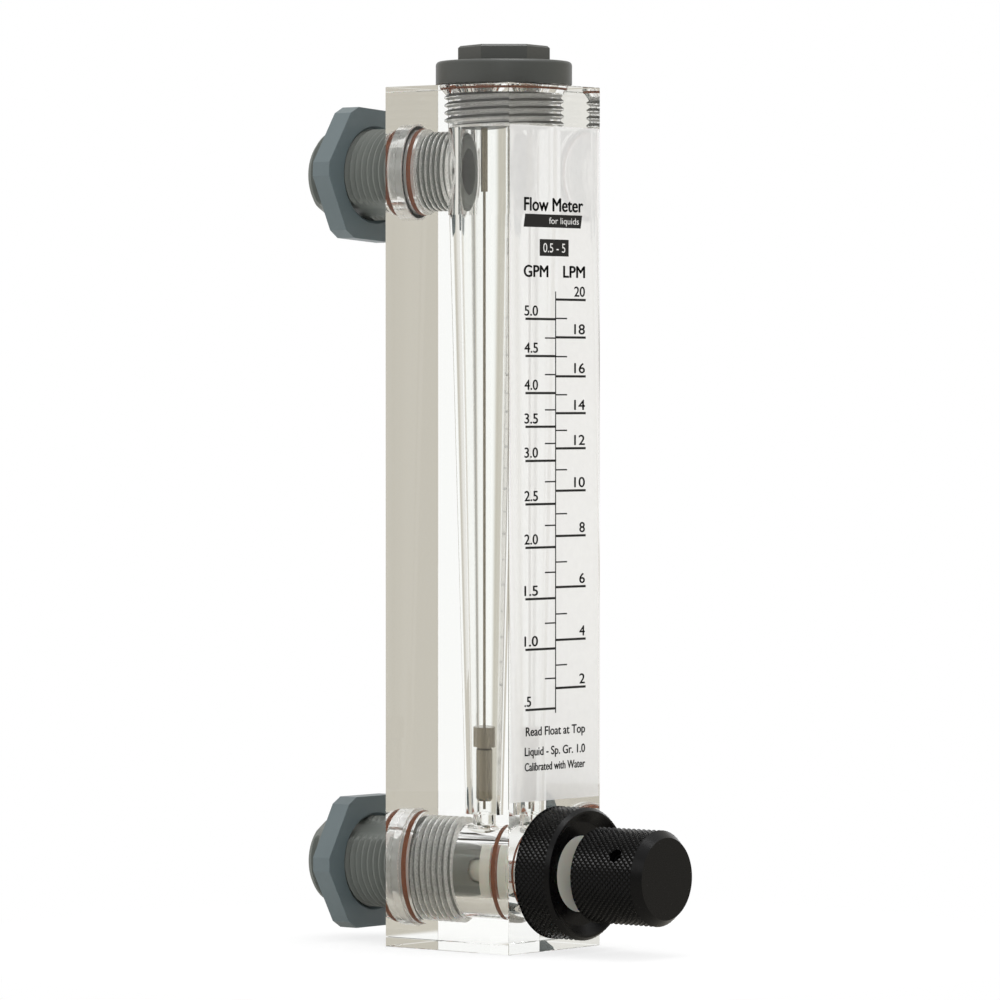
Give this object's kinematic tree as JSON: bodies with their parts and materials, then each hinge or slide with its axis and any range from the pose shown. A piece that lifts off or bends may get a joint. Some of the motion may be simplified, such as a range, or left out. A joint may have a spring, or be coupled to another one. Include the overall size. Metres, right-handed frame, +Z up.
{
  "type": "acrylic flow meter",
  "caption": "Clear acrylic block variable-area flow meter with a guided float, rear threaded ports with panel nuts and a front throttle valve with a knurled knob.",
  "frame": {"origin": "centre of the block's base", "axes": "+Z up along the metering bore; the scale and the knob face -Y and the pipe connections point along +Y"},
  "size_m": [0.035, 0.1028, 0.2162],
  "materials": {
    "acrylic": "clear, polished",
    "gray_pvc": "machined, satin",
    "seal_rubber": "smooth",
    "stainless": "turned",
    "natural_plastic": "satin",
    "black_plastic": "knurled, satin",
    "black_steel": "black oxide"
  },
  "bodies": {
    "meter": {"meter_body": "acrylic", "top_plug": "gray_pvc", "top_plug_seal": "seal_rubber", "guide_rod": "stainless", "upper_stop": "stainless", "rod_end_stop": "stainless", "inlet_stud": "gray_pvc", "inlet_stud_seal": "seal_rubber", "outlet_stud": "gray_pvc", "outlet_stud_seal": "seal_rubber", "valve_cartridge": "natural_plastic", "valve_cartridge_seal": "seal_rubber", "retaining_ring": "black_plastic"},
    "float": {"float": "stainless"},
    "stem_carrier": {"valve_stem_seal": "seal_rubber"},
    "knob": {"valve_stem": "natural_plastic", "valve_knob": "black_plastic", "knob_set_screw": "black_steel"},
    "inlet_nut": {"inlet_panel_nut": "gray_pvc"},
    "outlet_nut": {"outlet_panel_nut": "gray_pvc"}
  },
  "joints": [
    {"name": "float_travel", "type": "slide", "parent": "meter", "child": "float", "axis": [0, 0, 1], "range_m": [0, 0.1278]},
    {"name": "stem_travel", "type": "slide", "parent": "meter", "child": "stem_carrier", "axis": [0, 1, 0], "range_m": [-0.00128, 0.00458]},
    {"name": "knob_turn", "type": "hinge", "parent": "stem_carrier", "child": "knob", "pos_m": [0, -0.03, 0.01868], "axis": [0, 1, 0], "range_deg": [-360, 1296]},
    {"name": "inlet_nut_travel", "type": "slide", "parent": "meter", "child": "inlet_nut", "axis": [0, 1, 0], "range_m": [-0.0174, 0.0075]},
    {"name": "outlet_nut_travel", "type": "slide", "parent": "meter", "child": "outlet_nut", "axis": [0, 1, 0], "range_m": [-0.0174, 0.0075]}
  ],
  "couplings": [
    {"joint": "stem_travel", "follows": "knob_turn", "m_per_rad": 0.00020213}
  ]
}
